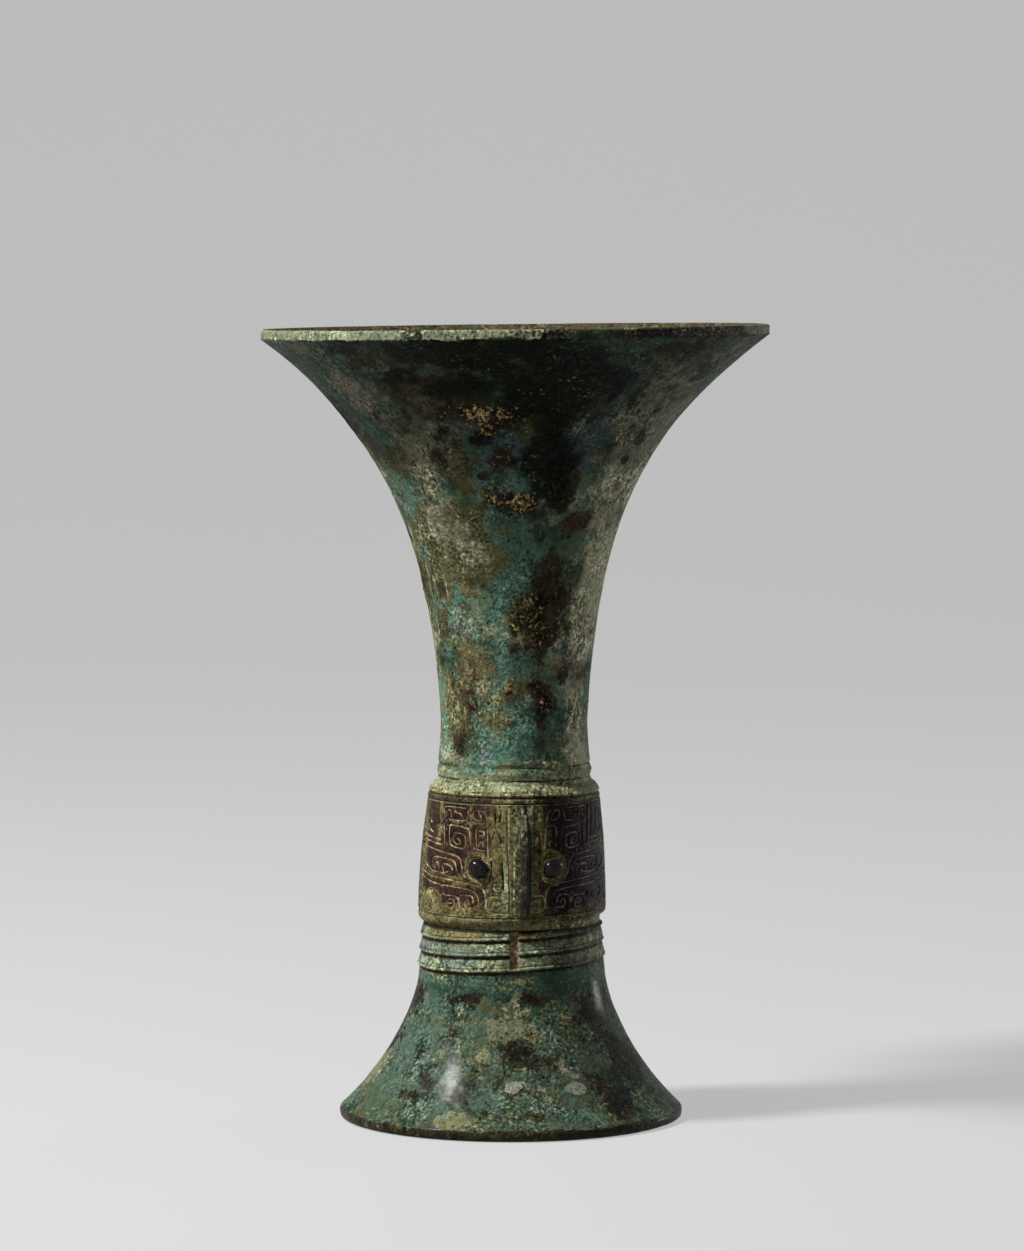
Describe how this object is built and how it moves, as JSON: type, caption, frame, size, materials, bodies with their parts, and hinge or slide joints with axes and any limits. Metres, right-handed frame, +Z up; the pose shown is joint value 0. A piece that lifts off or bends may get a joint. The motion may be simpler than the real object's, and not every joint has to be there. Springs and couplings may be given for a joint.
{
  "type": "bronze gu vase",
  "caption": "Tall bronze beaker with a wide trumpet mouth, a masked and flanged waist band, a ridged stem and a flared hollow foot.",
  "frame": {"origin": "centre of the foot's standing ring, on the ground", "axes": "+Z up out of the mouth; the front mask faces -Y and +X is to the viewer's right"},
  "size_m": [0.16, 0.16, 0.2509],
  "materials": {
    "green_patina": "corroded bronze patina",
    "pale_green_patina": "corroded bronze patina",
    "brown_patina": "corroded bronze patina",
    "grey_spacer": "corroded bronze patina"
  },
  "bodies": {
    "root": {"trumpet_mouth": "green_patina", "knop_wall": "pale_green_patina", "cup_floor": "brown_patina", "floor_spacer_1": "grey_spacer", "floor_spacer_2": "grey_spacer", "floor_spacer_3": "grey_spacer", "ridged_stem": "pale_green_patina", "flared_foot": "green_patina", "foot_spacer_1": "grey_spacer", "foot_spacer_2": "grey_spacer", "foot_spacer_3": "grey_spacer", "foot_spacer_4": "grey_spacer", "mask_front_left": "brown_patina", "eye_front_left": "brown_patina", "mask_front_right": "brown_patina", "eye_front_right": "brown_patina", "flange_front": "brown_patina", "mask_back_left": "brown_patina", "eye_back_left": "brown_patina", "mask_back_right": "brown_patina", "eye_back_right": "brown_patina", "flange_back": "brown_patina", "flange_right": "brown_patina", "flange_left": "brown_patina"}
  },
  "joints": []
}
